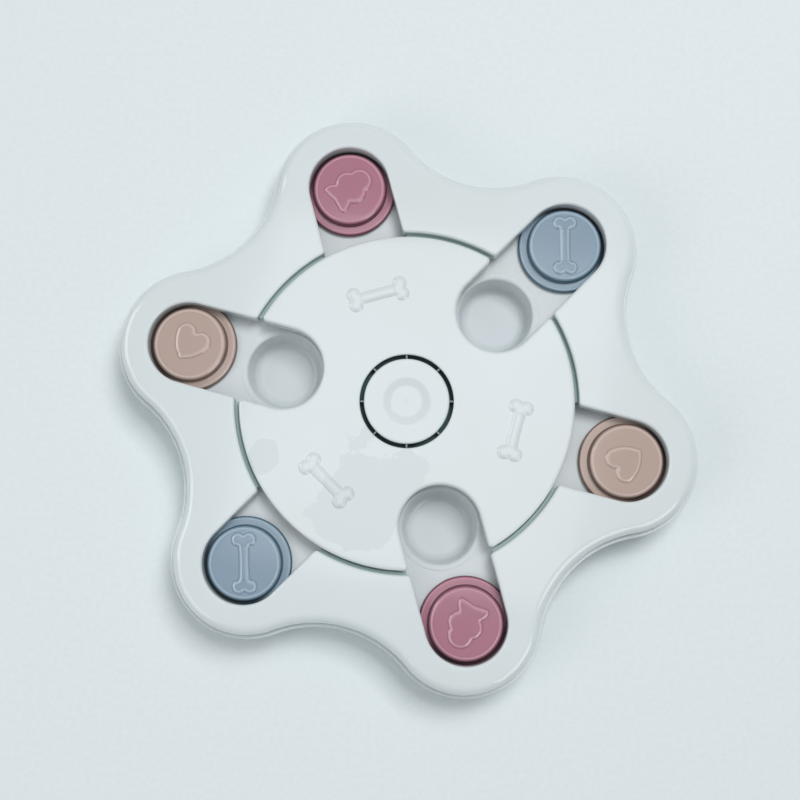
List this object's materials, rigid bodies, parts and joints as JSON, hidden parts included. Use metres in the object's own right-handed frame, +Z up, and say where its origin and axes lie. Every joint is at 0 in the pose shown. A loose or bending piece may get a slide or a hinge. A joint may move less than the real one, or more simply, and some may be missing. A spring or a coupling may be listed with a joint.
{
  "type": "dog puzzle feeder toy",
  "caption": "Star-shaped dog puzzle feeder: a slotted turntable and round sliding knobs cover and uncover food wells in a tray on rubber feet.",
  "frame": {"origin": "on the floor, under the turntable's axis, at the centre of the six-lobed outline", "axes": "+Z up; +X to the right and +Y away from the viewer as in the picture seen from above; the slots point 45, 105, 165, 225, 285 and 345 degrees from +X"},
  "size_m": [0.2826, 0.2826, 0.034],
  "materials": {
    "tray_plastic": "moulded pale mint-grey plastic, gloss",
    "deck_plastic": "moulded pale grey-white plastic, satin gloss",
    "cover_plastic": "moulded very pale mint-blue white plastic, gloss",
    "turntable_plastic": "moulded very pale mint-blue white plastic, gloss",
    "blue_plastic": "moulded dusty blue plastic, gloss",
    "pink_plastic": "moulded dusty rose plastic, gloss",
    "tan_plastic": "moulded warm greige plastic, gloss",
    "foot_rubber": "soft matt grey rubber",
    "screw_steel": "zinc-plated steel"
  },
  "bodies": {
    "tray": {"base_tray": "tray_plastic", "deck": "deck_plastic", "top_cover": "cover_plastic", "food_cup_upper_right": "deck_plastic", "food_cup_top": "deck_plastic", "food_cup_left": "deck_plastic", "food_cup_lower_left": "deck_plastic", "food_cup_bottom": "deck_plastic", "food_cup_right": "deck_plastic", "slider_track_upper_right": "deck_plastic", "slider_track_top": "deck_plastic", "slider_track_left": "deck_plastic", "slider_track_lower_left": "deck_plastic", "slider_track_bottom": "deck_plastic", "slider_track_right": "deck_plastic", "pivot_washer": "screw_steel", "pivot_screw": "screw_steel", "shell_screws": "screw_steel", "rubber_foot_1": "foot_rubber", "rubber_foot_2": "foot_rubber", "rubber_foot_3": "foot_rubber", "rubber_foot_4": "foot_rubber", "rubber_foot_5": "foot_rubber", "rubber_foot_6": "foot_rubber"},
    "turntable": {"turntable": "turntable_plastic", "turntable_leaf_top": "turntable_plastic", "turntable_leaf_lower_left": "turntable_plastic", "turntable_leaf_right": "turntable_plastic", "hub_cap": "turntable_plastic"},
    "blue_slider_upper_right": {"blue_slider_upper_right": "blue_plastic", "blue_knob_upper_right": "blue_plastic"},
    "pink_slider_top": {"pink_slider_top": "pink_plastic", "pink_knob_top": "pink_plastic"},
    "tan_slider_left": {"tan_slider_left": "tan_plastic", "tan_knob_left": "tan_plastic"},
    "blue_slider_lower_left": {"blue_slider_lower_left": "blue_plastic", "blue_knob_lower_left": "blue_plastic"},
    "pink_slider_bottom": {"pink_slider_bottom": "pink_plastic", "pink_knob_bottom": "pink_plastic"},
    "tan_slider_right": {"tan_slider_right": "tan_plastic", "tan_knob_right": "tan_plastic"}
  },
  "joints": [
    {"name": "turntable_spin", "type": "hinge", "parent": "tray", "child": "turntable", "pos_m": [0, 0, 0.027], "axis": [0, 0, 1], "range_deg": [-180, 360]},
    {"name": "blue_slide_upper_right", "type": "slide", "parent": "tray", "child": "blue_slider_upper_right", "axis": [-0.7071, -0.7071, 0], "range_m": [0, 0.0455]},
    {"name": "pink_slide_top", "type": "slide", "parent": "tray", "child": "pink_slider_top", "axis": [0.2588, -0.9659, 0], "range_m": [0, 0.0095]},
    {"name": "tan_slide_left", "type": "slide", "parent": "tray", "child": "tan_slider_left", "axis": [0.9659, -0.2588, 0], "range_m": [0, 0.0455]},
    {"name": "blue_slide_lower_left", "type": "slide", "parent": "tray", "child": "blue_slider_lower_left", "axis": [0.7071, 0.7071, 0], "range_m": [0, 0.0095]},
    {"name": "pink_slide_bottom", "type": "slide", "parent": "tray", "child": "pink_slider_bottom", "axis": [-0.2588, 0.9659, 0], "range_m": [0, 0.0455]},
    {"name": "tan_slide_right", "type": "slide", "parent": "tray", "child": "tan_slider_right", "axis": [-0.9659, 0.2588, 0], "range_m": [0, 0.0095]}
  ]
}
